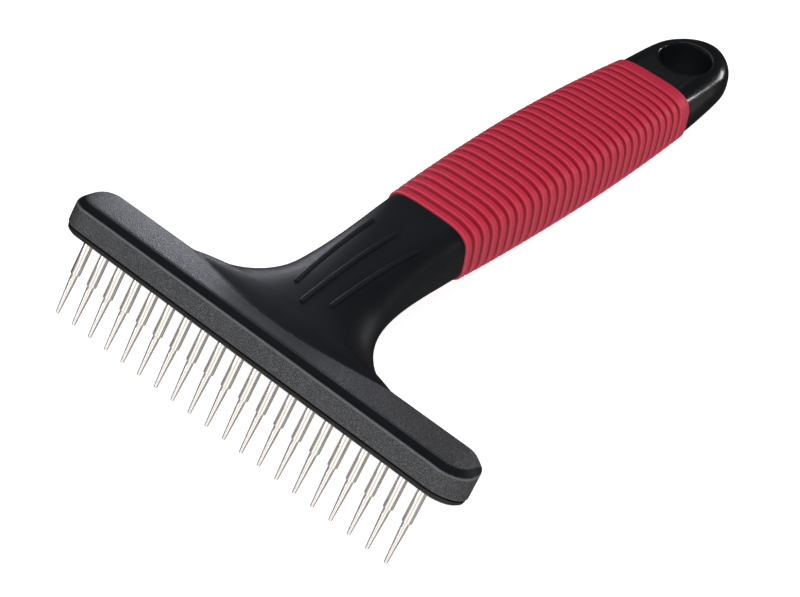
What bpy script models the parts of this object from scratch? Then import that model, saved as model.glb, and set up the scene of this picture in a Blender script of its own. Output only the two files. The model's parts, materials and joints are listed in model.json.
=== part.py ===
"""Undercoat rake: a T-shaped comb with one row of stepped turning pins, a ribbed grip and a hanging hole.

Everything is drawn in the tool's own frame (X along the head, Y from head to tail, Z out of the grip's
top, origin on the pin row) and stood on its pin tips and grip end by the empty "tool_frame".
"""

import math

import bmesh
import bpy
from mathutils import Matrix, Vector

MM = 0.001
CRISP_ANGLE = math.radians(28)

# Pins
PIN_COUNT = 20
PIN_PITCH = 5.0
PIN_LEAN = math.radians(28.4)  # how far the pins lean forward of the grip's normal
PIN_ROW_Z = -6.7  # height of the pin datum in the tool frame
SHANK_R = 1.1
POINT_TOP_R = 0.78
TIP_R = 0.4
TIP_FLAT = 0.55  # share of the tip's radius that is flat
TIP_ROUND = 0.25
STEP_ROUND = 0.12
POINT_NECK = 1.6  # length of the point that keeps its full thickness
STEP_W = -6.5  # where the thick shank ends, along the pin
TIP_W = -16.1
FLANGE_R = 1.9
FLANGE_LOW, FLANGE_HIGH = 4.3, 5.1
PIN_SIDES = 14

# Head, in its own frame: X along it, V to the rear, W up along the pins
HEAD_HALF_LENGTH = 55.2
HEAD_FRONT_V, HEAD_REAR_V = -3.8, 8.4
HEAD_FRONT_R, HEAD_REAR_R = 6.0, 6.15
CORNER_STEPS = 6
LEAST_R = 0.4
PLATE_LOW_W, PLATE_HIGH_W = 1.5, 2.7
HEAD_LOW_W = 3.0
RIDGE_W = 7.6  # top of the front face
TOP_SLOPE = 0.26  # rise of the head's top from front to rear
# The top falls away by these amounts at the rear edge and at each end, starting from V and X
REAR_DROP, REAR_FROM_V = 1.3, 4.2
END_DROP, END_FROM_X = 0.7, 48.5
CHAMFER_IN, CHAMFER_UP = 1.85, 1.45
RECESS_HALF_LENGTH = 51.0
RECESS_FRONT_V, RECESS_REAR_V = -2.2, 6.8
RECESS_HIGH_W = 5.4
RECESS_R = 3.4
PLINTH_HIGH_W = 4.0
GAP = 0.3
PIN_HOLE_R = SHANK_R + GAP
PIN_HOLE_SIDES = 16
CROWN_IN, CROWN_UP = 2.4, 0.25  # last step of the head's top
PLATE_INSET = 0.25
PLATE_ROUND = ((0.9, 0.0), (0.2, 0.5))  # how far in and up the plate's lower edge is rounded

# Grip
GRIP_START, GRIP_END = 53.5, 133.6
RIB_COUNT = 29
RIB_PITCH = 2.727
GROOVE_DEPTH = 0.5
RIB_FROM, RIB_TO, GROOVE_AT = 0.14, 0.70, 0.92  # shares of one rib's pitch
SLEEVE_WALL = 2.0
AROUND = 40
SQUARENESS, LOW_SQUARENESS = 3.8, 3.4  # exponents of the grip's sections: 2 is an ellipse

# Hanging hole
HOLE_Y = 146.0
HOLE_R = 6.2
HOLE_CHAMFER = 0.55
HOLE_SIDES = 36
TAIL_TAPER = 0.6  # how much lower the hole's underside rim is at its rear
CUTTER_OVERLAP = 3.0
TAIL_LAND_Z = 6.3

# Thumb ribs: (x and y of the head end, x and y of the grip end)
THUMB_RIBS = ((-5.0, 17.6, -6.5, 43.2), (0.0, 14.0, 0.0, 43.6), (5.0, 17.6, 6.5, 43.2))
THUMB_RIB_R = 0.7
THUMB_RIB_RISE = 0.4
THUMB_RIB_BOW = 0.7
THUMB_RIB_STEPS, THUMB_RIB_SIDES = 8, 10
THUMB_RIB_END = 0.45  # share of the radius left at each end

# Sections of the moulding: y, half width, top, widest height, bottom, two exponents of the upper half
# (across and up), one exponent of the lower half, lean in degrees, bow
NECK_SECTIONS = (
    (3.5, 29.5, 1.65, -2.6, -3.4, 2.5, 2.5, 2.1, 28.0, 4.0),
    (8.0, 33.0, 2.35, -2.8, -5.0, 2.4, 2.2, 2.0, 20.0, 1.6),
    (11.2, 30.6, 2.6, -3.4, -6.6, 2.3, 1.9, 2.0, 10.0, 0.4),
    (12.6, 26.4, 2.7, -3.5, -7.2, 2.4, 1.65, 2.1, 5.0, 0.2),
    (14.6, 22.5, 2.8, -3.5, -7.5, 2.5, 1.5, 2.2, 2.0, 0.0),
    (17.0, 19.05, 2.95, -3.5, -7.6, 2.6, 1.45, 2.2, 0.0, 0.0),
    (20.3, 15.9, 3.2, -3.35, -7.7, 2.6, 1.45, 2.2, 0.0, 0.0),
    (24.5, 13.5, 3.6, -2.9, -7.8, 2.6, 1.55, 2.2, 0.0, 0.0),
    (29.5, 12.1, 4.15, -2.2, -7.8, 2.75, 1.95, 2.3, 0.0, 0.0),
    (36.0, 11.2, 4.95, -1.6, -7.7, 2.95, 2.6, 2.6, 0.0, 0.0),
    (43.0, 10.9, 5.8, -1.1, -7.6, 3.3, 3.2, 3.0, 0.0, 0.0),
    (49.0, 11.0, 6.4, -0.7, -7.5, 3.6, 3.6, 3.3, 0.0, 0.0),
    (53.2, 11.1, 6.75, -0.5, -7.4, 3.8, 3.8, 3.4, 0.0, 0.0),
)
TAIL_SECTIONS = (
    (134.0, 11.1, 6.75, -0.3, -7.1, 3.5, 3.5, 3.3, 0.0, 0.0),
    (137.0, 11.1, 6.7, -0.1, -6.8, 3.4, 3.4, 3.0, 0.0, 0.0),
    (141.0, 11.0, 6.7, 0.2, -6.1, 3.2, 3.2, 2.8, 0.0, 0.0),
    (146.0, 10.7, 6.7, 0.6, -5.3, 3.0, 3.0, 2.6, 0.0, 0.0),
    (150.0, 10.1, 6.6, 0.8, -4.6, 2.8, 2.8, 2.45, 0.0, 0.0),
    (153.2, 8.7, 6.3, 1.0, -4.0, 2.6, 2.6, 2.25, 0.0, 0.0),
    (155.8, 6.8, 5.8, 1.1, -3.3, 2.4, 2.4, 2.05, 0.0, 0.0),
    (157.6, 4.7, 5.0, 1.2, -2.5, 2.2, 2.2, 2.0, 0.0, 0.0),
    (158.7, 2.6, 3.9, 1.2, -1.4, 2.1, 2.1, 2.0, 0.0, 0.0),
    (159.1, 1.0, 2.4, 1.2, 0.1, 2.0, 2.0, 2.0, 0.0, 0.0),
)
# Outside of the sleeve: y, half width, top, widest height, bottom
SLEEVE_SECTIONS = (
    (53.5, 11.55, 7.2, -0.4, -7.9),
    (64.0, 12.05, 7.85, -0.2, -8.3),
    (80.0, 12.5, 8.45, 0.1, -8.6),
    (95.0, 12.7, 8.65, 0.2, -8.6),
    (110.0, 12.5, 8.35, 0.2, -8.4),
    (124.0, 12.0, 7.75, 0.0, -7.9),
    (133.6, 11.5, 7.1, -0.2, -7.4),
)

BLACK = (0.012, 0.012, 0.014, 1.0)
RED = (0.45, 0.022, 0.05, 1.0)
STEEL = (0.72, 0.70, 0.66, 1.0)


def clear_scene():
    for obj in list(bpy.data.objects):
        bpy.data.objects.remove(obj)


def collection(name):
    made = bpy.data.collections.new(name)
    bpy.context.scene.collection.children.link(made)
    return made


def material(name, colour, roughness, metallic=0.0):
    made = bpy.data.materials.new(name)
    made.use_nodes = True
    shader = made.node_tree.nodes["Principled BSDF"]
    shader.inputs["Base Color"].default_value = colour
    shader.inputs["Roughness"].default_value = roughness
    shader.inputs["Metallic"].default_value = metallic
    made.diffuse_color = colour
    return made


def between(rows, y):
    """The row of a section table at y, straight between its neighbours."""
    for low, high in zip(rows, rows[1:]):
        if y <= high[0]:
            part = (y - low[0]) / (high[0] - low[0])
            return [a + (b - a) * part for a, b in zip(low, high)]
    return list(rows[-1])


def power(value, exponent):
    return math.copysign(abs(value) ** exponent, value)


def section(y, half, top, mid, low, across, up, lower, lean=0.0, bow=0.0, ceiling=None):
    """One closed ring of a rounded section that is widest at height mid."""
    ring = []
    for step in range(AROUND):
        angle = 2 * math.pi * step / AROUND
        above = math.sin(angle) > 0
        x = half * power(math.cos(angle), 2 / (across if above else lower))
        z = mid + (top - mid if above else mid - low) * power(math.sin(angle), 2 / (up if above else lower))
        if ceiling is not None:
            z = min(z, ceiling)
        back = (z - mid) * math.tan(math.radians(lean)) + bow * (x / half) ** 2
        ring.append(Vector((x, y + back, z)))
    return ring


def loft(name, rings, into):
    """A closed solid through rings of equal point count, capped flat at both ends."""
    mesh = bmesh.new()
    rows = [[mesh.verts.new(point * MM) for point in ring] for ring in rings]
    for low, high in zip(rows, rows[1:]):
        count = len(low)
        for i in range(count):
            j = (i + 1) % count
            mesh.faces.new((low[i], low[j], high[j], high[i]))
    mesh.faces.new(rows[0][::-1])
    mesh.faces.new(rows[-1])
    return finish(name, mesh, into)


def tube(name, outer, inner, into):
    """An open tube between an outside and an inside run of rings."""
    mesh = bmesh.new()
    rows = [[mesh.verts.new(point * MM) for point in ring] for ring in outer + inner[::-1]]
    for low, high in zip(rows, rows[1:] + rows[:1]):
        count = len(low)
        for i in range(count):
            j = (i + 1) % count
            mesh.faces.new((low[i], low[j], high[j], high[i]))
    return finish(name, mesh, into)


def finish(name, mesh, into):
    bmesh.ops.recalc_face_normals(mesh, faces=mesh.faces)
    data = bpy.data.meshes.new(name)
    mesh.to_mesh(data)
    mesh.free()
    obj = bpy.data.objects.new(name, data)
    into.objects.link(obj)
    return obj


def shade(obj):
    """Smooth on the round faces, with a crisp line wherever the surface really turns."""
    obj.data.shade_smooth()
    obj.data.set_sharp_from_angle(angle=CRISP_ANGLE)


def helper(obj):
    """A shape that only joins or cuts another."""
    obj.hide_render = True
    obj.display_type = "WIRE"
    return obj


def boolean(obj, other, operation):
    modifier = obj.modifiers.new(other.name, "BOOLEAN")
    modifier.operation = operation
    modifier.solver = "EXACT"
    modifier.object = other


def outline(half_length, front, rear, front_r, rear_r, inset=0.0):
    """A rounded rectangle in X and V, as a list of (x, v)."""
    half = half_length - inset
    front, rear = front + inset, rear - inset
    front_r, rear_r = max(front_r - inset, LEAST_R), max(rear_r - inset, LEAST_R)
    centres = (
        (half - front_r, front + front_r, front_r, -90),
        (half - rear_r, rear - rear_r, rear_r, 0),
        (rear_r - half, rear - rear_r, rear_r, 90),
        (front_r - half, front + front_r, front_r, 180),
    )
    points = []
    for x, v, radius, start in centres:
        for step in range(CORNER_STEPS + 1):
            angle = math.radians(start + 90 * step / CORNER_STEPS)
            points.append((x + radius * math.cos(angle), v + radius * math.sin(angle)))
    return points


def flat_ring(points, w):
    return [Vector((x, v, w)) for x, v in points]


def edge_drop(x, v):
    """How far the head's top falls away towards its rear edge and its ends."""
    rear = max(0.0, (v - REAR_FROM_V) / (HEAD_REAR_V - REAR_FROM_V))
    end = max(0.0, (abs(x) - END_FROM_X) / (HEAD_HALF_LENGTH - END_FROM_X))
    return REAR_DROP * rear**2 + END_DROP * end**2


def sloped_ring(points, front, w):
    """A ring that rises towards the rear as the head's top does."""
    return [Vector((x, v, w + TOP_SLOPE * (v - front) - edge_drop(x, v))) for x, v in points]


def head_outline(inset=0.0):
    return outline(HEAD_HALF_LENGTH, HEAD_FRONT_V, HEAD_REAR_V, HEAD_FRONT_R, HEAD_REAR_R, inset)


def in_head_frame(obj, frame):
    obj.parent = frame
    obj.location = (0, 0, PIN_ROW_Z * MM)
    obj.rotation_euler = (-PIN_LEAN, 0, 0)


def head_block(into, frame):
    """The bar of the head: upright walls, a chamfered rim and a top that rises to the rear."""
    shoulder_w = RIDGE_W + CHAMFER_UP
    rings = [
        flat_ring(head_outline(), HEAD_LOW_W),
        sloped_ring(head_outline(), HEAD_FRONT_V, RIDGE_W),
        sloped_ring(head_outline(CHAMFER_IN), HEAD_FRONT_V, shoulder_w),
        sloped_ring(head_outline(CHAMFER_IN + CROWN_IN), HEAD_FRONT_V, shoulder_w + CROWN_UP),
    ]
    block = helper(loft("head_block", rings, into))
    in_head_frame(block, frame)
    return block


def recess(into, frame):
    """The pocket that takes the pin plate's plinth and the pin flanges."""
    points = outline(RECESS_HALF_LENGTH, RECESS_FRONT_V, RECESS_REAR_V, RECESS_R, RECESS_R)
    rings = [flat_ring(points, HEAD_LOW_W - 1.0), flat_ring(points, RECESS_HIGH_W)]
    pocket = helper(loft("head_recess", rings, into))
    in_head_frame(pocket, frame)
    return pocket


def sleeve_ring(y, inset):
    _, half, top, mid, low = between(SLEEVE_SECTIONS, y)
    return section(y, half - inset, top - inset, mid, low + inset, SQUARENESS, SQUARENESS, LOW_SQUARENESS)


def core_rings():
    inset = SLEEVE_WALL + GAP
    stations = [GRIP_START - GAP] + [row[0] for row in SLEEVE_SECTIONS[1:-1]] + [GRIP_END + GAP]
    return [sleeve_ring(min(max(y, GRIP_START), GRIP_END), inset) for y in stations], stations


def moulding(into):
    """Neck, core through the sleeve and tail as one run of sections."""
    rings = [section(*row) for row in NECK_SECTIONS]
    cores, stations = core_rings()
    for ring, y in zip(cores, stations):
        rings.append([Vector((p.x, y, p.z)) for p in ring])
    rings += [section(*row, ceiling=TAIL_LAND_Z) for row in TAIL_SECTIONS]
    return loft("handle_body", rings, into)


def thumb_rib(index, ends, into, frame):
    """A low rounded bar that follows the neck's top."""
    x0, y0, x1, y1 = ends
    rings = []
    for step in range(THUMB_RIB_STEPS + 1):
        part = step / THUMB_RIB_STEPS
        bow = THUMB_RIB_BOW * 4 * part * (1 - part)
        x, y = x0 + (x1 - x0) * part - bow, y0 + (y1 - y0) * part
        _, half, top, mid, _, across, up = between(NECK_SECTIONS, y)[:7]
        height = (1 - abs(x / half) ** across) ** (1 / up)
        z = mid + (top - mid) * height + THUMB_RIB_RISE - THUMB_RIB_R
        radius = THUMB_RIB_R * (THUMB_RIB_END if step in (0, THUMB_RIB_STEPS) else 1.0)
        rings.append([
            Vector((x + radius * math.cos(a), y, z + radius * math.sin(a)))
            for a in (2 * math.pi * k / THUMB_RIB_SIDES for k in range(THUMB_RIB_SIDES))
        ])
    rib = helper(loft(f"thumb_rib_{index}", rings, into))
    rib.parent = frame
    return rib


def turned(name, profile, sides, into):
    """A solid turned about Z from a profile of (radius, height), given from the top down."""
    data = bpy.data.meshes.new(name)
    points = [(radius * MM, 0, height * MM) for radius, height in profile]
    data.from_pydata(points, [(i, i + 1) for i in range(len(points) - 1)], [])
    obj = bpy.data.objects.new(name, data)
    into.objects.link(obj)
    turn = obj.modifiers.new("turn", "SCREW")
    turn.steps = turn.render_steps = sides
    turn.use_merge_vertices = True
    turn.merge_threshold = 0.00001
    return obj


def hanging_hole(into, frame):
    """A through cutter with a flared rim at each face."""
    high, low = TAIL_LAND_Z, between(TAIL_SECTIONS, HOLE_Y)[4]
    flare = HOLE_R + HOLE_CHAMFER + CUTTER_OVERLAP
    profile = (
        (0.0, high + CUTTER_OVERLAP),
        (flare, high + CUTTER_OVERLAP),
        (HOLE_R, high - HOLE_CHAMFER),
        (HOLE_R, low + HOLE_CHAMFER + TAIL_TAPER),
        (flare + TAIL_TAPER, low - CUTTER_OVERLAP),
        (0.0, low - CUTTER_OVERLAP),
    )
    cutter = helper(turned("hanging_hole", profile, HOLE_SIDES, into))
    cutter.parent = frame
    cutter.location.y = HOLE_Y * MM
    return cutter


def handle_body(parts, helpers, frame):
    body = moulding(parts)
    body.parent = frame
    boolean(body, head_block(helpers, frame), "UNION")
    boolean(body, recess(helpers, frame), "DIFFERENCE")
    boolean(body, hanging_hole(helpers, frame), "DIFFERENCE")
    for index, ends in enumerate(THUMB_RIBS, 1):
        boolean(body, thumb_rib(index, ends, helpers, frame), "UNION")
    shade(body)
    body.data.materials.append(material("black_plastic", BLACK, 0.4))
    return body


def grip_sleeve(parts, frame):
    """The rubber tube with its ribs, open at both ends."""
    outer = []
    for rib in range(RIB_COUNT):
        start = GRIP_START + rib * RIB_PITCH
        last = rib == RIB_COUNT - 1
        outer.append(sleeve_ring(start + (RIB_FROM * RIB_PITCH if rib else 0.0), 0.0))
        outer.append(sleeve_ring(GRIP_END if last else start + RIB_TO * RIB_PITCH, 0.0))
        if not last:
            outer.append(sleeve_ring(start + GROOVE_AT * RIB_PITCH, GROOVE_DEPTH))
    inner = [sleeve_ring(row[0], SLEEVE_WALL) for row in SLEEVE_SECTIONS]
    sleeve = tube("grip_sleeve", outer, inner, parts)
    sleeve.parent = frame
    shade(sleeve)
    sleeve.data.materials.append(material("red_rubber", RED, 0.55))
    return sleeve


def pin_x(index):
    return (index - (PIN_COUNT - 1) / 2) * PIN_PITCH


def pin_holes(into, frame):
    """Every hole of the pin plate as one cutter of separate drums."""
    mesh = bmesh.new()
    depth = PLINTH_HIGH_W - PLATE_LOW_W + 2.0
    for index in range(PIN_COUNT):
        centre = Vector((pin_x(index), 0, (PLINTH_HIGH_W + PLATE_LOW_W) / 2)) * MM
        bmesh.ops.create_cone(
            mesh,
            cap_ends=True,
            segments=PIN_HOLE_SIDES,
            radius1=PIN_HOLE_R * MM,
            radius2=PIN_HOLE_R * MM,
            depth=depth * MM,
            matrix=Matrix.Translation(centre),
        )
    cutter = helper(finish("pin_holes", mesh, into))
    in_head_frame(cutter, frame)
    return cutter


def pin_plate(parts, helpers, frame):
    """The cover under the head: a full plate with a plinth that locates in the recess."""
    plinth = outline(RECESS_HALF_LENGTH, RECESS_FRONT_V, RECESS_REAR_V, RECESS_R, RECESS_R, GAP)
    rings = [flat_ring(head_outline(PLATE_INSET + back), PLATE_LOW_W + up) for back, up in PLATE_ROUND]
    rings.append(flat_ring(head_outline(PLATE_INSET), PLATE_HIGH_W))
    rings.append(flat_ring(plinth, PLATE_HIGH_W))
    rings.append(flat_ring(plinth, PLINTH_HIGH_W))
    plate = loft("pin_plate", rings, parts)
    in_head_frame(plate, frame)
    boolean(plate, pin_holes(helpers, frame), "DIFFERENCE")
    plate.data.materials.append(material("black_base", BLACK, 0.5))
    return plate


def pin_profile():
    """The turned pin from its flange to its blunt tip, as (radius, height)."""
    return (
        (0.0, FLANGE_HIGH),
        (FLANGE_R, FLANGE_HIGH),
        (FLANGE_R, FLANGE_LOW),
        (SHANK_R, FLANGE_LOW),
        (SHANK_R, STEP_W + STEP_ROUND),
        (SHANK_R - STEP_ROUND, STEP_W),
        (POINT_TOP_R, STEP_W),
        (POINT_TOP_R, STEP_W - POINT_NECK),
        (TIP_R, TIP_W + TIP_ROUND),
        (TIP_R * TIP_FLAT, TIP_W),
        (0.0, TIP_W),
    )


def pins(parts, frame):
    """The row of pins, each with its origin on its own axis."""
    plated = material("nickel", STEEL, 0.25, 1.0)
    for index in range(PIN_COUNT):
        pin = turned(f"pin_{index + 1:02d}", pin_profile(), PIN_SIDES, parts)
        pin.data.materials.append(plated)
        in_head_frame(pin, frame)
        pin.location.x = pin_x(index) * MM


def tool_point(v, w):
    """(y, z) in the tool frame of a point of the head frame."""
    y = v * math.cos(PIN_LEAN) + w * math.sin(PIN_LEAN)
    z = PIN_ROW_Z - v * math.sin(PIN_LEAN) + w * math.cos(PIN_LEAN)
    return y, z


def stand(frame):
    """Stands the tool on its pin tips and on the tail end of the grip."""
    tip_y, tip_z = tool_point(TIP_R * TIP_FLAT, TIP_W)
    toe_y, toe_z = tool_point(-TIP_R, TIP_W + TIP_ROUND)
    end_y, end_z = SLEEVE_SECTIONS[-1][0], SLEEVE_SECTIONS[-1][4]
    pitch = math.atan2(end_z - tip_z, end_y - tip_y)
    frame.rotation_euler = (-pitch, 0, 0)
    height = end_y * math.sin(pitch) - end_z * math.cos(pitch)
    front = toe_y * math.cos(pitch) + toe_z * math.sin(pitch)
    tail_y, tail_z = TAIL_SECTIONS[-1][0], TAIL_SECTIONS[-1][3]
    rear = tail_y * math.cos(pitch) + tail_z * math.sin(pitch)
    frame.location = (0, -(front + rear) / 2 * MM, height * MM)


def build():
    clear_scene()
    parts = collection("undercoat_rake")
    helpers = collection("cutters")
    helpers.hide_render = True
    frame = bpy.data.objects.new("tool_frame", None)
    parts.objects.link(frame)
    stand(frame)
    handle_body(parts, helpers, frame)
    pin_plate(parts, helpers, frame)
    grip_sleeve(parts, frame)
    pins(parts, frame)


build()
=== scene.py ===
"""Undercoat rake, seen from the front left: moulded black body, ribbed crimson grip, nickel pins."""

import json
import math

import bmesh
import bpy
import numpy as np
from mathutils import Matrix, Vector

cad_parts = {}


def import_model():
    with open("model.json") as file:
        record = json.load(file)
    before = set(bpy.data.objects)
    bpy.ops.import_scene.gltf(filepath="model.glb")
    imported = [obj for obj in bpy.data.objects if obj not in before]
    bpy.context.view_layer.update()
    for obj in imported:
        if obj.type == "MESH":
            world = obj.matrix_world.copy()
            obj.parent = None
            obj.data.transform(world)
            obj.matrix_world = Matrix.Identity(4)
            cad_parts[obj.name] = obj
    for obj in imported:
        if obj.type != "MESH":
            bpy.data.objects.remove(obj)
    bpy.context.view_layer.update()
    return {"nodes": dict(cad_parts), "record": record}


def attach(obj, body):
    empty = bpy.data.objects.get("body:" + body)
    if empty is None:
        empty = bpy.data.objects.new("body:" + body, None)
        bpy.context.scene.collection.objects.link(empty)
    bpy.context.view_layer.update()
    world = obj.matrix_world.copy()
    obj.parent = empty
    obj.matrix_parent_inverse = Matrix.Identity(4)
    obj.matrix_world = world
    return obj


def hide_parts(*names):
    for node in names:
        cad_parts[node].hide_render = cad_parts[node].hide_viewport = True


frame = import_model()

MM = 0.001

# Driving sizes in millimetres, in the tool's own frame: X along the head, Y from head to tail, Z out of the
# grip's top. The head has a frame of its own, leaned like the pins: V to the rear, W up along the pins.
PIN_LEAN = math.radians(28.4)
PIN_ROW_Z = -6.7
HEAD_HALF_LENGTH = 55.2
HEAD_FRONT_V, HEAD_REAR_V = -3.8, 8.4
HEAD_FRONT_R, HEAD_REAR_R = 6.0, 6.15
HEAD_LOW_W = 2.75
RIDGE_W = 7.6
TOP_SLOPE = 0.26
CHAMFER_IN, CHAMFER_UP = 1.85, 1.45
CROWN = 0.35
REAR_DROP, REAR_FROM_V = 1.3, 4.2
END_DROP, END_FROM_X = 0.7, 48.5
GRIP_START, GRIP_END = 53.5, 133.6
RIB_COUNT = 29
RIB_PITCH = 2.727
GROOVE_DEPTH = 0.5
SLEEVE_WALL = 2.0
SQUARENESS, LOW_SQUARENESS = 3.8, 3.4
HOLE_Y = 146.0
HOLE_R = 6.2
TAIL_LAND_Z = 6.3
SHANK_R, POINT_TOP_R, TIP_R, FLANGE_R = 1.1, 0.78, 0.4, 1.9
FLANGE_LOW, FLANGE_HIGH, STEP_W, TIP_W = 4.3, 5.1, -6.5, -16.1

NECK_SECTIONS = (
    (3.5, 29.5, 1.65, -2.6, -3.4, 2.5, 2.5, 2.1, 28.0, 4.0),
    (8.0, 33.0, 2.35, -2.8, -5.0, 2.4, 2.2, 2.0, 20.0, 1.6),
    (11.2, 30.6, 2.6, -3.4, -6.6, 2.3, 1.9, 2.0, 10.0, 0.4),
    (12.6, 26.4, 2.7, -3.5, -7.2, 2.4, 1.65, 2.1, 5.0, 0.2),
    (14.6, 22.5, 2.8, -3.5, -7.5, 2.5, 1.5, 2.2, 2.0, 0.0),
    (17.0, 19.05, 2.95, -3.5, -7.6, 2.6, 1.45, 2.2, 0.0, 0.0),
    (20.3, 15.9, 3.2, -3.35, -7.7, 2.6, 1.45, 2.2, 0.0, 0.0),
    (24.5, 13.5, 3.6, -2.9, -7.8, 2.6, 1.55, 2.2, 0.0, 0.0),
    (29.5, 12.1, 4.15, -2.2, -7.8, 2.75, 1.95, 2.3, 0.0, 0.0),
    (36.0, 11.2, 4.95, -1.6, -7.7, 2.95, 2.6, 2.6, 0.0, 0.0),
    (43.0, 10.9, 5.8, -1.1, -7.6, 3.3, 3.2, 3.0, 0.0, 0.0),
    (49.0, 11.0, 6.4, -0.7, -7.5, 3.6, 3.6, 3.3, 0.0, 0.0),
    (54.5, 11.12, 6.8, -0.5, -7.4, 3.8, 3.8, 3.4, 0.0, 0.0),
)
TAIL_SECTIONS = (
    (132.8, 11.1, 6.75, -0.4, -7.15, 3.5, 3.5, 3.3, 0.0, 0.0),
    (137.0, 11.1, 6.7, -0.1, -6.8, 3.4, 3.4, 3.0, 0.0, 0.0),
    (141.0, 11.0, 6.7, 0.2, -6.1, 3.2, 3.2, 2.8, 0.0, 0.0),
    (146.0, 10.7, 6.7, 0.6, -5.3, 3.0, 3.0, 2.6, 0.0, 0.0),
    (150.0, 10.1, 6.6, 0.8, -4.6, 2.8, 2.8, 2.45, 0.0, 0.0),
    (153.2, 8.7, 6.3, 1.0, -4.0, 2.6, 2.6, 2.25, 0.0, 0.0),
    (155.8, 6.8, 5.8, 1.1, -3.3, 2.4, 2.4, 2.05, 0.0, 0.0),
    (157.6, 4.7, 5.0, 1.2, -2.5, 2.2, 2.2, 2.0, 0.0, 0.0),
    (158.7, 2.6, 3.9, 1.2, -1.4, 2.1, 2.1, 2.0, 0.0, 0.0),
    (159.1, 1.0, 2.4, 1.2, 0.1, 2.0, 2.0, 2.0, 0.0, 0.0),
)
SLEEVE_SECTIONS = (
    (53.5, 11.55, 7.2, -0.4, -7.9),
    (64.0, 12.05, 7.85, -0.2, -8.3),
    (80.0, 12.5, 8.45, 0.1, -8.6),
    (95.0, 12.7, 8.65, 0.2, -8.6),
    (110.0, 12.5, 8.35, 0.2, -8.4),
    (124.0, 12.0, 7.75, 0.0, -7.9),
    (133.6, 11.5, 7.1, -0.2, -7.4),
)
THUMB_RIBS = ((-5.0, 17.6, -6.5, 43.2), (0.0, 14.0, 0.0, 43.6), (5.0, 17.6, 6.5, 43.2))
RIB_BOW, RIB_HALF_WIDTH, RIB_RISE, RIB_END, RIB_BOXINESS = 0.7, 0.6, 0.3, 0.8, 0.45
# The crease where the neck's top begins: y at the middle, y gained with the square of x
CREASE_Y, CREASE_BOW = 6.2, 0.0055
COVE_DEPTH, COVE_HALF, COVE_V, COVE_WIDE = 0.45, 17.0, 0.4, 1.9
RIB_PROFILE = (
    (0.00, 0.47), (0.03, 0.34), (0.05, 0.14), (0.075, 0.03), (0.105, 0.0), (0.15, -0.01), (0.20, 0.01),
    (0.36, 0.02), (0.48, 0.01), (0.53, 0.0), (0.57, 0.03), (0.60, 0.12), (0.63, 0.30), (0.67, 0.42),
    (0.73, 0.48), (0.86, 0.5), (0.95, 0.5),
)
# How finely the visual meshes are cut, in points round, rows along, millimetres and smoothing rounds
BODY_AROUND, SLEEVE_AROUND, PIN_AROUND, HOLE_AROUND, RIB_AROUND = 112, 128, 28, 96, 24
NECK_STEPS, TAIL_STEPS, RIB_STEPS = 84, 64, 60
BODY_VOXEL, BODY_ROUNDS = 0.28, 5
TAIL_VOXEL, TAIL_ROUNDS = 0.25, 10
# The white sweep's panels: heading from, heading to, strength, colour
SWEEP = (
    (-150, -113, 0.05, (1.0, 0.94, 0.88)),
    (-113, -72, 0.85, (1.0, 0.97, 0.94)),
    (-72, -60, 0.15, (1.0, 0.95, 0.9)),
    (-60, -24, 1.0, (1.0, 0.98, 0.96)),
    (-24, 22, 0.13, (1.0, 0.9, 0.82)),
    (22, 60, 0.05, (1.0, 0.92, 0.85)),
)
SWEEP_R, SWEEP_LOW, SWEEP_HIGH = 0.7, -0.6, 0.26


def tool_matrix():
    """The tool's frame in the row frame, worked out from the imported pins' axes."""
    joints = frame["record"]["behaviour"]["joints"]
    axis = Vector(joints[0]["axis"])
    pitch = math.atan2(axis.y, axis.z) - PIN_LEAN
    turn = Matrix.Rotation(-pitch, 4, "X")
    datum = Vector(joints[0]["pos_m"])
    datum.x = 0.0
    return Matrix.Translation(datum - turn @ Vector((0, 0, PIN_ROW_Z * MM))) @ turn


TOOL = tool_matrix()
HEAD = TOOL @ Matrix.Translation((0, 0, PIN_ROW_Z * MM)) @ Matrix.Rotation(-PIN_LEAN, 4, "X")


# ---------------------------------------------------------------- mesh helpers
def smooth_row(rows, y):
    """A section table's row at y, on a smooth curve through its rows."""
    if y <= rows[0][0]:
        return list(rows[0])
    if y >= rows[-1][0]:
        return list(rows[-1])
    k = next(i for i in range(len(rows) - 1) if rows[i + 1][0] >= y)
    before, low, high, after = rows[max(k - 1, 0)], rows[k], rows[k + 1], rows[min(k + 2, len(rows) - 1)]
    span = high[0] - low[0]
    t = (y - low[0]) / span
    out = []
    for b, p, q, a in zip(before, low, high, after):
        m0 = (q - b) / max(high[0] - before[0], 1e-6) * span
        m1 = (a - p) / max(after[0] - low[0], 1e-6) * span
        out.append(
            (2 * t**3 - 3 * t**2 + 1) * p + (t**3 - 2 * t**2 + t) * m0 + (3 * t**2 - 2 * t**3) * q
            + (t**3 - t**2) * m1
        )
    out[0] = y
    return out


def power(value, exponent):
    return math.copysign(abs(value) ** exponent, value)


def section(
    y, half, top, mid, low, across, up, lower, lean=0.0, bow=0.0, around=BODY_AROUND, ceiling=None
):
    """One closed ring of a rounded section that is widest at height mid."""
    ring = []
    for step in range(around):
        angle = 2 * math.pi * step / around
        above = math.sin(angle) > 0
        x = half * power(math.cos(angle), 2 / (across if above else lower))
        z = mid + (top - mid if above else mid - low) * power(math.sin(angle), 2 / (up if above else lower))
        if ceiling is not None:
            z = min(z, ceiling)
        back = (z - mid) * math.tan(math.radians(lean)) + bow * (x / half) ** 2
        ring.append(Vector((x, y + back, z)))
    return ring


def circle(radius, z, around, y=0.0):
    """A ring of points about a vertical axis."""
    angles = (2 * math.pi * k / around for k in range(around))
    return [Vector((radius * math.cos(a), y + radius * math.sin(a), z)) for a in angles]


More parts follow.
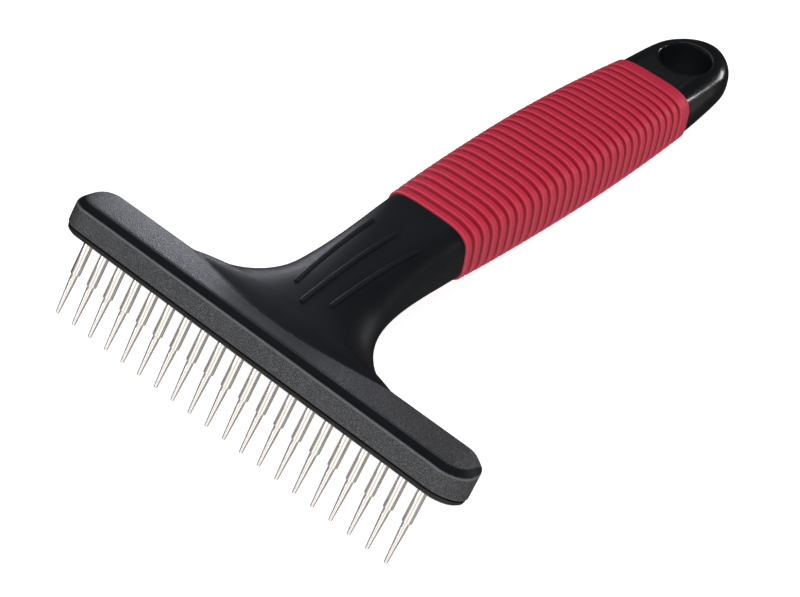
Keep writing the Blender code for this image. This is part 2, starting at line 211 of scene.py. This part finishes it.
def solid(name, rings, loop=False, capped=True):
    """An object lofted through rings; a loop joins the last ring to the first."""
    mesh = bmesh.new()
    rows = [[mesh.verts.new(point * MM) for point in ring] for ring in rings]
    pairs = list(zip(rows, rows[1:]))
    if loop:
        pairs.append((rows[-1], rows[0]))
    for low, high in pairs:
        for i in range(len(low)):
            j = (i + 1) % len(low)
            mesh.faces.new((low[i], low[j], high[j], high[i]))
    if capped and not loop:
        mesh.faces.new(rows[0][::-1])
        mesh.faces.new(rows[-1])
    bmesh.ops.recalc_face_normals(mesh, faces=mesh.faces)
    data = bpy.data.meshes.new(name)
    mesh.to_mesh(data)
    mesh.free()
    obj = bpy.data.objects.new(name, data)
    bpy.context.scene.collection.objects.link(obj)
    return obj


def shade_smooth(obj):
    obj.data.polygons.foreach_set("use_smooth", [True] * len(obj.data.polygons))
    obj.data.update()


def boolean(obj, other, operation):
    modifier = obj.modifiers.new(other.name, "BOOLEAN")
    modifier.operation = operation
    modifier.solver = "EXACT"
    modifier.object = other


def blended(obj, helpers, voxel, rounds):
    """Applies the object's Booleans, then rounds every edge by a fine remesh and a few smoothing rounds."""
    remesh = obj.modifiers.new("skin", "REMESH")
    remesh.mode = "VOXEL"
    remesh.voxel_size = voxel * MM
    smooth = obj.modifiers.new("soften", "SMOOTH")
    smooth.factor = 0.5
    smooth.iterations = rounds
    bpy.context.view_layer.update()
    graph = bpy.context.evaluated_depsgraph_get()
    data = bpy.data.meshes.new_from_object(obj.evaluated_get(graph))
    obj.modifiers.clear()
    obj.data = data
    for helper in helpers:
        bpy.data.objects.remove(helper)
    shade_smooth(obj)


def place(obj, matrix):
    obj.data.transform(matrix)
    obj.data.update()


def coordinates(obj, matrix):
    """The object's vertices in millimetres in another frame, as an array."""
    points = np.empty(len(obj.data.vertices) * 3)
    obj.data.vertices.foreach_get("co", points)
    inverse = np.array(matrix.inverted())
    return (points.reshape(-1, 3) @ inverse[:3, :3].T + inverse[:3, 3]) / MM


def paint(obj, name, values):
    """Stores one number for each vertex, for a material to read."""
    layer = obj.data.attributes.new(name, "FLOAT", "POINT")
    layer.data.foreach_set("value", np.clip(values, 0, 1).astype(np.float32))


def ramp(values, low, high):
    t = np.clip((values - low) / (high - low), 0, 1)
    return t * t * (3 - 2 * t)


# ---------------------------------------------------------------- body
def head_outline(inset):
    """The head's rounded outline in X and V, as (x, v), with plenty of points along its straights."""
    front_r, rear_r = max(HEAD_FRONT_R - inset, 0.15), max(HEAD_REAR_R - inset, 0.15)
    half = HEAD_HALF_LENGTH - inset
    front, rear = HEAD_FRONT_V + inset + front_r, HEAD_REAR_V - inset - rear_r
    corners = (
        (half - front_r, front, front_r, -90),
        (half - rear_r, rear, rear_r, 0),
        (rear_r - half, rear, rear_r, 90),
        (front_r - half, front, front_r, 180),
    )
    points = []
    for x, v, radius, start in corners:
        for step in range(17):
            angle = math.radians(start + 90 * step / 16)
            points.append((x + radius * math.cos(angle), v + radius * math.sin(angle)))
        if start in (0, 180):
            end_v = points[-1][1]
            ahead = -x
            points += [(x + (ahead - x) * k / 60, end_v) for k in range(1, 60)]
    return points


def cove(x, v):
    """How far the head's top is hollowed between its rim and the crease of the neck."""
    along = math.exp(-((x / COVE_HALF) ** 4))
    return COVE_DEPTH * along * math.exp(-(((v - COVE_V) / COVE_WIDE) ** 2))


def edge_drop(x, v):
    """How far the head's top falls away towards its rear edge and its ends."""
    rear = max(0.0, (v - REAR_FROM_V) / (HEAD_REAR_V - REAR_FROM_V))
    end = max(0.0, (abs(x) - END_FROM_X) / (HEAD_HALF_LENGTH - END_FROM_X))
    return REAR_DROP * rear**2 + END_DROP * end**2


def head_ring(inset, w, sloped, hollow=False):
    ring = []
    for x, v in head_outline(inset):
        rise = TOP_SLOPE * (v - HEAD_FRONT_V) - edge_drop(x, v) if sloped else 0.0
        ring.append(Vector((x, v, w + rise - (cove(x, v) if hollow else 0.0))))
    return ring


def head_block():
    """Upright textured walls, a sharp ridge, a smooth sloping rim and a crowned top."""
    rings = [head_ring(0.5, HEAD_LOW_W, False), head_ring(0.0, HEAD_LOW_W + 0.5, False)]
    rings.append(head_ring(0.0, RIDGE_W, True))
    rings.append(head_ring(CHAMFER_IN, RIDGE_W + CHAMFER_UP, True))
    depth = (HEAD_REAR_V - HEAD_FRONT_V) / 2
    for step in range(1, 13):
        part = step / 13
        inset = CHAMFER_IN + (depth - CHAMFER_IN) * part
        crown = CROWN * (1 - (1 - part) ** 2)
        rings.append(head_ring(inset, RIDGE_W + CHAMFER_UP + crown, True, True))
    block = solid("head_block", rings)
    place(block, HEAD)
    return block


def neck():
    rows = NECK_SECTIONS
    count = NECK_STEPS
    ys = [rows[0][0] + (rows[-1][0] - rows[0][0]) * k / count for k in range(count + 1)]
    obj = solid("neck", [section(*smooth_row(rows, y)) for y in ys])
    place(obj, TOOL)
    return obj


def front_body():
    """Head and neck as one moulding."""
    body = neck()
    block = head_block()
    boolean(body, block, "UNION")
    blended(body, (block,), BODY_VOXEL, BODY_ROUNDS)
    body.name = "head_and_neck"
    head = coordinates(body, HEAD)
    tool = coordinates(body, TOOL)
    inner = np.maximum(np.abs(head[:, 0]) - (HEAD_HALF_LENGTH - HEAD_FRONT_R), 0)
    across = head[:, 1] - (HEAD_FRONT_V + HEAD_FRONT_R)
    front = HEAD_FRONT_R - np.hypot(inner, np.minimum(across, 0))
    dropped = np.array([edge_drop(x, v) for x, v in head[:, :2]])
    over = head[:, 2] - RIDGE_W - TOP_SLOPE * (head[:, 1] - HEAD_FRONT_V) + dropped
    rim = ramp(front + over, 0.15, 0.5) * (1 - ramp(front, CHAMFER_IN - 0.55, CHAMFER_IN + 0.05))
    x, y = tool[:, 0], tool[:, 1]
    crease = CREASE_Y + CREASE_BOW * x * x
    top = ramp(over, 0.9, 1.3)
    panel = ramp(y - crease, -0.35, 0.25)
    middle = top * (1 - ramp(np.abs(x), 7.0, 22.0))
    low = 1 - ramp(head[:, 2], HEAD_LOW_W + 0.2, HEAD_LOW_W + 0.7)
    # Painted highlight: a thin band along the ridge, just above the front face, that the material draws
    # paler.
    ridge_highlight = ramp(front + over, -0.3, 0.0) * (1 - ramp(front + over, 0.05, 0.35)) * (1 - ramp(front, 0.6, 1.0))
    paint(body, "edge", ridge_highlight)
    behind = (1 - top) * ramp(head[:, 1], 3.0, 5.0) * (1 - ramp(np.abs(x), 27.0, 33.0))
    textured = (1 - rim) * (1 - panel) * (1 - low) * (1 - behind)
    paint(body, "plain", 1 - textured)
    paint(body, "grain", textured * (1 - middle))
    return body


def tail():
    """The end of the moulding, with its hanging hole."""
    rows = TAIL_SECTIONS
    count = TAIL_STEPS
    ys = [rows[0][0] + (rows[-1][0] - rows[0][0]) * k / count for k in range(count + 1)]
    body = solid("tail", [section(*smooth_row(rows, y), ceiling=TAIL_LAND_Z) for y in ys])
    place(body, TOOL)
    low = smooth_row(rows, HOLE_Y)[4]
    levels = (
        (TAIL_LAND_Z + 3, HOLE_R + 3.55),
        (TAIL_LAND_Z - 0.5, HOLE_R),
        (low + 1.1, HOLE_R),
        (low - 3, HOLE_R + 4.1),
    )
    cutter = solid("hole", [circle(radius, z, HOLE_AROUND, HOLE_Y) for z, radius in levels])
    place(cutter, TOOL)
    boolean(body, cutter, "DIFFERENCE")
    blended(body, (cutter,), TAIL_VOXEL, TAIL_ROUNDS)
    points = coordinates(body, TOOL)
    reach = np.hypot(points[:, 0], points[:, 1] - HOLE_Y)
    paint(body, "plain", 1 - ramp(reach, HOLE_R + 0.15, HOLE_R + 0.4))
    return body


def thumb_rib(index, ends):
    """A low flat bar with a crisp edge, lying on the neck's top."""
    x0, y0, x1, y1 = ends
    rings = []
    for step in range(RIB_STEPS + 1):
        part = (1 - math.cos(math.pi * step / RIB_STEPS)) / 2
        x, y = x0 + (x1 - x0) * part - RIB_BOW * 4 * part * (1 - part), y0 + (y1 - y0) * part
        _, half, top, mid, _, across, up = smooth_row(NECK_SECTIONS, y)[:7]
        height = (1 - abs(x / half) ** across) ** (1 / up)
        z = mid + (top - mid) * height
        reach = min(part, 1 - part) * (y1 - y0)
        width = RIB_HALF_WIDTH * math.sqrt(max(0.0, 1 - max(0.0, 1 - reach / RIB_END) ** 2)) + 0.01
        rise = RIB_RISE * min(1.0, width / 0.5)
        ring = []
        for k in range(RIB_AROUND):
            a = 2 * math.pi * k / RIB_AROUND
            side, up = power(math.cos(a), RIB_BOXINESS), power(math.sin(a), RIB_BOXINESS)
            ring.append(Vector((x + width * side, y, z + rise * up)))
        rings.append(ring)
    rib = solid(f"thumb_rib_{index}", rings)
    place(rib, TOOL)
    shade_smooth(rib)
    paint(rib, "grain", np.zeros(len(rib.data.vertices)))
    return rib


# ---------------------------------------------------------------- grip
def sleeve_ring(y, inset):
    _, half, top, mid, low = smooth_row(SLEEVE_SECTIONS, y)
    sizes = (y, half - inset, top - inset, mid, low + inset)
    return section(*sizes, SQUARENESS, SQUARENESS, LOW_SQUARENESS, around=SLEEVE_AROUND)


def sleeve():
    outer = []
    groove = []
    lip = []
    for rib in range(RIB_COUNT):
        for phase, inset in RIB_PROFILE:
            if rib == 0 and phase < 0.1:
                inset = max(0.0, 0.22 - 2.5 * phase)
            if rib == RIB_COUNT - 1 and phase > 0.5:
                continue
            outer.append(sleeve_ring(GRIP_START + (rib + phase) * RIB_PITCH, inset))
            # How deep each ring lies in its groove sets how much painted shade it gets; the bore inside is
            # all painted shade.
            groove.append(inset / GROOVE_DEPTH)
            # A painted highlight on the rising flank of each rib.
            lip.append(float(0.04 < phase < 0.12))
    outer.append(sleeve_ring(GRIP_END - 0.15, 0.02))
    outer.append(sleeve_ring(GRIP_END, 0.25))
    groove += [0.0, 0.0]
    lip += [0.0] * (len(outer) - len(lip))
    inner = [sleeve_ring(row[0], SLEEVE_WALL) for row in SLEEVE_SECTIONS]
    groove += [1.0] * len(inner)
    lip += [0.0] * len(inner)
    obj = solid("ribbed_grip", outer + inner[::-1], loop=True)
    place(obj, TOOL)
    shade_smooth(obj)
    paint(obj, "groove", np.repeat(groove, SLEEVE_AROUND))
    paint(obj, "lip", np.repeat(lip, SLEEVE_AROUND))
    return obj


# ---------------------------------------------------------------- pins
def pin_profile():
    """(radius, height) down the turned pin, with its small edge rounds."""
    return (
        (0.02, FLANGE_HIGH), (FLANGE_R - 0.1, FLANGE_HIGH), (FLANGE_R, FLANGE_HIGH - 0.1),
        (FLANGE_R, FLANGE_LOW + 0.1), (FLANGE_R - 0.1, FLANGE_LOW), (SHANK_R + 0.02, FLANGE_LOW),
        (SHANK_R, FLANGE_LOW - 0.1), (SHANK_R, 0.0), (SHANK_R, STEP_W + 0.16),
        (SHANK_R - 0.05, STEP_W + 0.05), (SHANK_R - 0.14, STEP_W),
        (POINT_TOP_R + 0.03, STEP_W), (POINT_TOP_R, STEP_W - 0.05),
        (POINT_TOP_R, STEP_W - 1.2), (POINT_TOP_R - 0.03, STEP_W - 2.2), (TIP_R + 0.01, TIP_W + 0.5),
        (TIP_R, TIP_W + 0.25), (TIP_R * 0.8, TIP_W + 0.08), (TIP_R * 0.5, TIP_W + 0.01), (0.02, TIP_W),
    )


def pin(joint):
    """One turned pin in place of its CAD node, riding on its own body."""
    name = joint["name"].replace("_spin", "")
    rings = [circle(radius, height, PIN_AROUND) for radius, height in pin_profile()]
    obj = solid(f"turned_{name}", rings)
    datum = Vector(joint["pos_m"])
    turn = Matrix.Rotation(-math.atan2(joint["axis"][1], joint["axis"][2]), 4, "X")
    place(obj, Matrix.Translation(datum) @ turn)
    shade_smooth(obj)
    obj.data.set_sharp_from_angle(angle=math.radians(40))
    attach(obj, joint["child"])
    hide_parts(name)
    return obj


# ---------------------------------------------------------------- materials
class Nodes:
    """A material's node tree, built by short calls."""

    def __init__(self, name):
        self.material = bpy.data.materials.new(name)
        self.material.use_nodes = True
        self.tree = self.material.node_tree
        self.shader = self.tree.nodes["Principled BSDF"]

    def add(self, kind, **values):
        node = self.tree.nodes.new(kind)
        for key, value in values.items():
            setattr(node, key, value)
        return node

    def link(self, source, target):
        self.tree.links.new(source, target)

    def place(self, scale):
        """Object coordinates, scaled to features in one metre."""
        coords = self.add("ShaderNodeTexCoord")
        mapping = self.add("ShaderNodeMapping")
        mapping.inputs["Scale"].default_value = (scale, scale, scale)
        self.link(coords.outputs["Object"], mapping.inputs["Vector"])
        return mapping.outputs["Vector"]

    def noise(self, scale, detail=2.0, rough=0.5):
        node = self.add("ShaderNodeTexNoise")
        node.inputs["Scale"].default_value = 1.0
        node.inputs["Detail"].default_value = detail
        node.inputs["Roughness"].default_value = rough
        self.link(self.place(scale), node.inputs["Vector"])
        return node.outputs["Fac"]

    def attribute(self, name):
        node = self.add("ShaderNodeAttribute", attribute_name=name)
        return node.outputs["Fac"]

    def math(self, operation, a, b=0.0, clamp=False):
        node = self.add("ShaderNodeMath", operation=operation, use_clamp=clamp)
        for socket, value in zip(node.inputs, (a, b)):
            if isinstance(value, (int, float)):
                socket.default_value = value
            else:
                self.link(value, socket)
        return node.outputs[0]

    def spread(self, value, low, high, to_low=0.0, to_high=1.0):
        node = self.add("ShaderNodeMapRange")
        for socket, number in zip(node.inputs[1:5], (low, high, to_low, to_high)):
            socket.default_value = number
        self.link(value, node.inputs[0])
        return node.outputs[0]

    def mix(self, factor, a, b):
        node = self.add("ShaderNodeMix", data_type="RGBA")
        for socket, value in ((node.inputs["Factor"], factor), (node.inputs[6], a), (node.inputs[7], b)):
            if isinstance(value, (int, float, tuple)):
                socket.default_value = value
            else:
                self.link(value, socket)
        return node.outputs[2]

    def bump(self, height, strength, distance, under=None):
        node = self.add("ShaderNodeBump")
        node.inputs["Distance"].default_value = distance * MM
        if isinstance(strength, (int, float)):
            node.inputs["Strength"].default_value = strength
        else:
            self.link(strength, node.inputs["Strength"])
        self.link(height, node.inputs["Height"])
        if under is not None:
            self.link(under, node.inputs["Normal"])
        return node.outputs["Normal"]


def black_plastic(name, specular, satin_rough=(0.42, 0.5)):
    """Spark grain on the head, satin on the neck and rim, and a painted highlight along the ridge."""
    m = Nodes(name)
    m.shader.inputs["Specular IOR Level"].default_value = specular
    grain = m.attribute("grain")
    speckle = m.noise(4200.0, 1.5, 0.6)
    cloud = m.noise(160.0, 2.0)
    fine = m.noise(900.0, 2.0)
    light = m.spread(speckle, 0.49, 0.6)
    spark = m.mix(light, (0.002, 0.0022, 0.0026, 1), (0.055, 0.06, 0.068, 1))
    satin = m.mix(cloud, (0.0035, 0.004, 0.005, 1), (0.006, 0.0066, 0.008, 1))
    plain = m.mix(grain, satin, spark)
    # Mixes the painted ridge highlight into the base colour as a paler grey.
    m.link(m.mix(m.attribute("edge"), plain, (0.1, 0.105, 0.112, 1)), m.shader.inputs["Base Color"])
    rough_spark = m.spread(light, 0.0, 1.0, 0.52, 0.34)
    rough_satin = m.spread(fine, 0.3, 0.7, *satin_rough)
    rough = m.add("ShaderNodeMix")
    m.link(grain, rough.inputs[0])
    m.link(rough_satin, rough.inputs[2])
    m.link(rough_spark, rough.inputs[3])
    m.link(rough.outputs[0], m.shader.inputs["Roughness"])
    strength = m.spread(grain, 0.0, 1.0, 0.03, 1.0)
    m.link(m.bump(speckle, strength, 0.24, m.bump(fine, 0.05, 0.03)), m.shader.inputs["Normal"])
    return m.material


def gloss_black():
    """The polished tail."""
    m = Nodes("polished_black")
    cloud = m.noise(220.0, 2.0)
    fine = m.noise(1400.0, 3.0)
    tone = m.mix(cloud, (0.003, 0.0034, 0.004, 1), (0.005, 0.0055, 0.0065, 1))
    m.link(tone, m.shader.inputs["Base Color"])
    m.link(m.spread(fine, 0.3, 0.7, 0.15, 0.24), m.shader.inputs["Roughness"])
    m.link(m.bump(fine, 0.08, 0.03), m.shader.inputs["Normal"])
    return m.material


def base_black():
    """The smooth plate that closes the head from below."""
    m = Nodes("base_black")
    fine = m.noise(1100.0, 3.0)
    tone = m.mix(fine, (0.004, 0.004, 0.0045, 1), (0.008, 0.008, 0.009, 1))
    m.link(tone, m.shader.inputs["Base Color"])
    m.link(m.spread(fine, 0.3, 0.7, 0.42, 0.55), m.shader.inputs["Roughness"])
    m.link(m.bump(fine, 0.08, 0.03), m.shader.inputs["Normal"])
    m.shader.inputs["Specular IOR Level"].default_value = 0.3
    return m.material


def red_rubber():
    """Matte crimson, with painted shade darkening the grooves and a painted highlight along each rib's edge.
    """
    m = Nodes("crimson_rubber")
    groove = m.attribute("groove")
    fine = m.noise(1500.0, 3.0, 0.6)
    cloud = m.noise(90.0, 2.0)
    top = m.mix(cloud, (0.35, 0.0132, 0.036, 1), (0.40, 0.0158, 0.043, 1))
    # Painted shade: the grooves drawn in a darker crimson.
    groove_shade_colour = (0.2, 0.006, 0.013, 1)
    ribbed = m.mix(m.spread(groove, 0.25, 0.95), top, groove_shade_colour)
    # The painted highlight: a paler crimson on each rib's rising flank.
    m.link(m.mix(m.attribute("lip"), ribbed, (0.47, 0.036, 0.066, 1)), m.shader.inputs["Base Color"])
    m.link(m.spread(fine, 0.3, 0.7, 0.5, 0.64), m.shader.inputs["Roughness"])
    m.link(m.bump(fine, 0.25, 0.04), m.shader.inputs["Normal"])
    m.shader.inputs["Specular IOR Level"].default_value = 0.35
    return m.material


def nickel():
    """Bright plate over fine turning marks."""
    m = Nodes("bright_nickel")
    coords = m.add("ShaderNodeTexCoord")
    turned = m.add("ShaderNodeTexNoise")
    turned.inputs["Scale"].default_value = 900.0
    turned.inputs["Detail"].default_value = 2.0
    m.link(coords.outputs["Object"], turned.inputs["Vector"])
    cloud = m.noise(300.0, 2.0)
    tone = m.mix(cloud, (0.80, 0.775, 0.73, 1), (0.88, 0.86, 0.82, 1))
    m.link(tone, m.shader.inputs["Base Color"])
    m.link(m.spread(turned.outputs["Fac"], 0.3, 0.7, 0.12, 0.2), m.shader.inputs["Roughness"])
    m.link(m.bump(turned.outputs["Fac"], 0.05, 0.02), m.shader.inputs["Normal"])
    m.shader.inputs["Metallic"].default_value = 1.0
    return m.material


def dress(obj, material):
    obj.data.materials.clear()
    obj.data.materials.append(material)


def dress_plain_faces(obj, material):
    """Gives the faces painted plain a second material."""
    plain = np.empty(len(obj.data.vertices), np.float32)
    obj.data.attributes["plain"].data.foreach_get("value", plain)
    obj.data.materials.append(material)
    index = [int(min(plain[v] for v in face.vertices) > 0.6) for face in obj.data.polygons]
    obj.data.polygons.foreach_set("material_index", index)


# ---------------------------------------------------------------- stage
def area_light(name, place_mm, aim_mm, size, power_w, colour=(1, 1, 1)):
    """A soft lamp placed and aimed in the tool's frame."""
    data = bpy.data.lights.new(name, "AREA")
    data.shape = "RECTANGLE"
    data.size, data.size_y = size
    data.energy = power_w
    data.color = colour
    obj = bpy.data.objects.new(name, data)
    place_at, aim = TOOL @ (Vector(place_mm) * MM), TOOL @ (Vector(aim_mm) * MM)
    obj.location = place_at
    obj.rotation_euler = (aim - place_at).to_track_quat("-Z", "Y").to_euler()
    bpy.context.scene.collection.objects.link(obj)
    return obj


def glow(name, strength, colour=(1, 1, 1)):
    """A pale surface that gives off light."""
    m = Nodes(name)
    m.shader.inputs["Base Color"].default_value = (0.3, 0.3, 0.3, 1)
    m.shader.inputs["Roughness"].default_value = 0.9
    m.shader.inputs["Emission Color"].default_value = (*colour, 1)
    m.shader.inputs["Emission Strength"].default_value = strength
    return m.material


def stage_piece(name, mesh, material, for_camera):
    data = bpy.data.meshes.new(name)
    mesh.to_mesh(data)
    mesh.free()
    obj = bpy.data.objects.new(name, data)
    bpy.context.scene.collection.objects.link(obj)
    data.materials.append(material)
    obj.visible_camera = for_camera
    obj.visible_glossy = not for_camera
    obj.visible_shadow = False
    return obj


def floor():
    mesh = bmesh.new()
    bmesh.ops.create_grid(mesh, x_segments=1, y_segments=1, size=3.0)
    stage_piece("floor", mesh, glow("pale_floor", 0.92), True)


def sweep_panel(index, panel):
    """One panel of the sweep: a sector of a wide bowl, open to reflections below the floor too."""
    start, end, strength, colour = panel
    mesh = bmesh.new()
    steps = 12
    rows = []
    for radius, z in ((0.004, SWEEP_LOW), (SWEEP_R, SWEEP_LOW), (SWEEP_R, SWEEP_HIGH)):
        row = []
        for k in range(steps + 1):
            heading = math.radians(start + (end - start) * k / steps)
            row.append(mesh.verts.new((radius * math.cos(heading), -0.07 + radius * math.sin(heading), z)))
        rows.append(row)
    for low, high in zip(rows, rows[1:]):
        for k in range(steps):
            mesh.faces.new((low[k], low[k + 1], high[k + 1], high[k]))
    stage_piece(f"sweep_{index}", mesh, glow(f"sweep_{index}", strength, colour), False)


def cyclorama():
    """A white sweep in front of the tool that only reflections see."""
    for index, panel in enumerate(SWEEP, 1):
        sweep_panel(index, panel)


def world():
    scene_world = bpy.data.worlds.new("studio")
    scene_world.use_nodes = True
    back = scene_world.node_tree.nodes["Background"]
    back.inputs["Color"].default_value = (1, 1, 1, 1)
    back.inputs["Strength"].default_value = 0.035
    bpy.context.scene.world = scene_world


def camera():
    """Looks down on the front left of the head, a little rolled, as the object is usually pictured."""
    data = bpy.data.cameras.new("camera")
    data.lens = 112.1
    data.sensor_width = 36.0
    data.clip_start = 0.02
    obj = bpy.data.objects.new("camera", data)
    right = Vector((0.7376, 0.6609, 0.1385)).normalized()
    back = Vector((0.4390, -0.6252, 0.6453)).normalized()
    up = back.cross(right).normalized()
    right = up.cross(back)
    turn = Matrix((right, up, back)).transposed().to_4x4()
    obj.matrix_world = TOOL @ Matrix.Translation(Vector((237.41, -289.49, 333.62)) * MM) @ turn
    bpy.context.scene.collection.objects.link(obj)
    bpy.context.scene.camera = obj


def lights():
    key = area_light("key", (200, -160, 760), (0, 60, 0), (0.4, 0.4), 7.0)
    key.visible_glossy = False
    area_light("front_low", (-330, -600, 110), (-10, 0, 0), (0.36, 0.2), 0.6)
    area_light("ridge", (-300, -430, 430), (-10, 0, 0), (0.4, 0.08), 1.0)
    arm_lights = (
        ("arm_glow_near", (-56, 54, 20), (-22, 6, 2), 0.016),
        ("arm_glow_far", (-86, 66, 25), (-46, 5, 1), 0.0095),
    )
    for name, place_mm, aim_mm, power_w in arm_lights:
        lamp = area_light(name, place_mm, aim_mm, (0.022, 0.018), power_w, (0.88, 0.9, 1.0))
        lamp.visible_diffuse = False
        lamp.visible_camera = False
    area_light("panel_glow", (-280, 360, 520), (0, 25, 3), (0.4, 0.4), 0.33, (0.85, 0.92, 1.0))
    area_light("tail_glint", (150, 600, 140), (0, 146, 4), (0.15, 0.1), 0.5)
    area_light("tail_streak", (256, 396, 172), (8, 146, 4), (0.14, 0.05), 0.3)


def build():
    body = front_body()
    back = tail()
    ribs = [thumb_rib(index, ends) for index, ends in enumerate(THUMB_RIBS, 1)]
    grip = sleeve()
    grained = black_plastic("grained_black", 1.0, (0.75, 0.8))
    satin, polished = black_plastic("satin_black", 0.13), gloss_black()
    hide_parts("handle_body")
    for obj in (body, back, grip, *ribs):
        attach(obj, "handle")
    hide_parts("grip_sleeve")
    dress(body, grained)
    dress_plain_faces(body, satin)
    dress(back, polished)
    dress_plain_faces(back, black_plastic("hole_black", 0.03))
    for rib in ribs:
        dress(rib, satin)
    dress(grip, red_rubber())
    plated = nickel()
    for joint in frame["record"]["behaviour"]["joints"]:
        obj = pin(joint)
        dress(obj, plated)
    dress(frame["nodes"]["pin_plate"], base_black())


bpy.context.scene.view_settings.view_transform = "Standard"
build()
world()
floor()
cyclorama()
lights()
camera()
